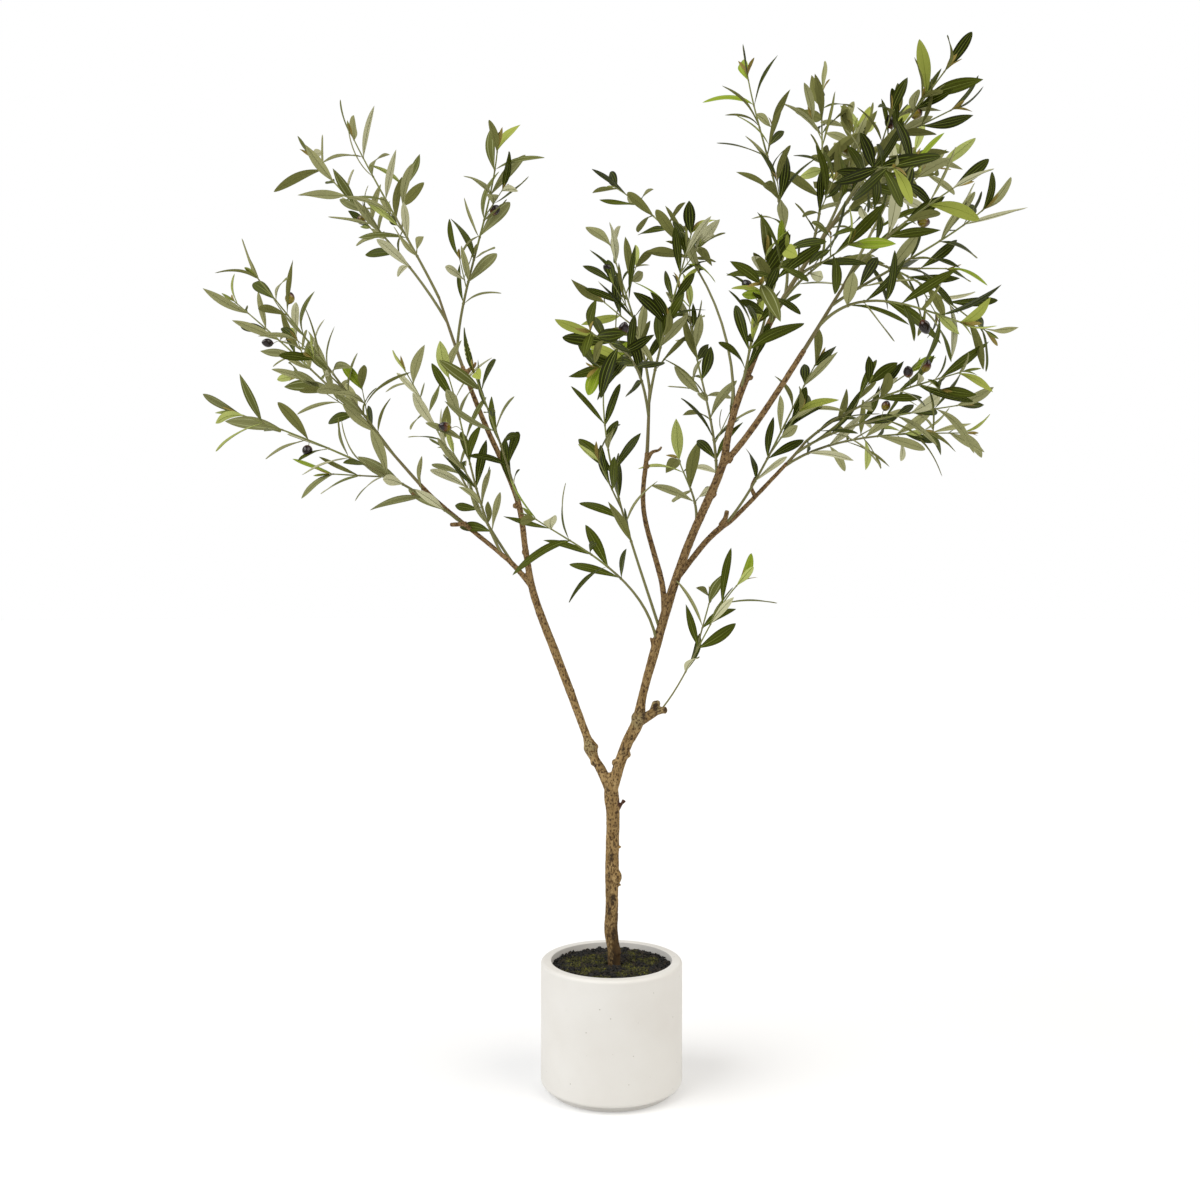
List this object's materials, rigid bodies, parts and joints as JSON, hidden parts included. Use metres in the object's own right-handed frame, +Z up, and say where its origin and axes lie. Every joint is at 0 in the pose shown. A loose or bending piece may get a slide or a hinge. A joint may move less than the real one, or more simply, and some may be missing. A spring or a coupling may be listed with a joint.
{
  "type": "artificial potted olive tree",
  "caption": "Artificial olive tree with forked bark stems, wired leaf sprays and olives, filled into a plain white cylinder pot that stands on a recessed foot.",
  "frame": {"origin": "centre of the pot's flat underside, on the surface that it stands on", "axes": "+Z up along the pot's axis, +X to the right and +Y away from someone who sees the tree as pictured"},
  "size_m": [1.7739, 0.9664, 2.1543],
  "materials": {
    "pot_stone": "matt off-white cast stone",
    "moss_fill": "rough dark crumbs with moss",
    "bark": "rough tan bark with knots",
    "foliage": "matt printed fabric leaves"
  },
  "bodies": {
    "root": {"pot": "pot_stone", "fill": "moss_fill", "trunk": "bark", "left_leader": "bark", "right_leader": "bark", "centre_bough": "bark", "left_low_bough": "bark", "right_bough": "bark", "low_right_bough": "bark", "pruned_stub": "bark", "hooked_stub": "bark", "centre_arch": "foliage", "centre_front": "foliage", "centre_left": "foliage", "centre_low": "foliage", "centre_right": "foliage", "centre_tall": "foliage", "leader_back": "foliage", "leader_front_high": "foliage", "leader_front_low": "foliage", "leader_low_back": "foliage", "leader_side": "foliage", "left_high_inner": "foliage", "left_high_middle": "foliage", "left_high_outer": "foliage", "left_inner_back": "foliage", "left_inner_front": "foliage", "left_leader_front": "foliage", "left_lowest": "foliage", "left_outer_high": "foliage", "left_outer_low": "foliage", "right_arch": "foliage", "right_arch_high": "foliage", "right_back": "foliage", "right_front": "foliage", "right_inner": "foliage", "right_low_back": "foliage", "right_low_middle": "foliage", "right_low_top": "foliage", "right_tip": "foliage", "stub_spray": "foliage", "top": "foliage", "top_back": "foliage", "top_column": "foliage", "top_front": "foliage", "top_right": "foliage", "top_thin": "foliage"}
  },
  "joints": []
}
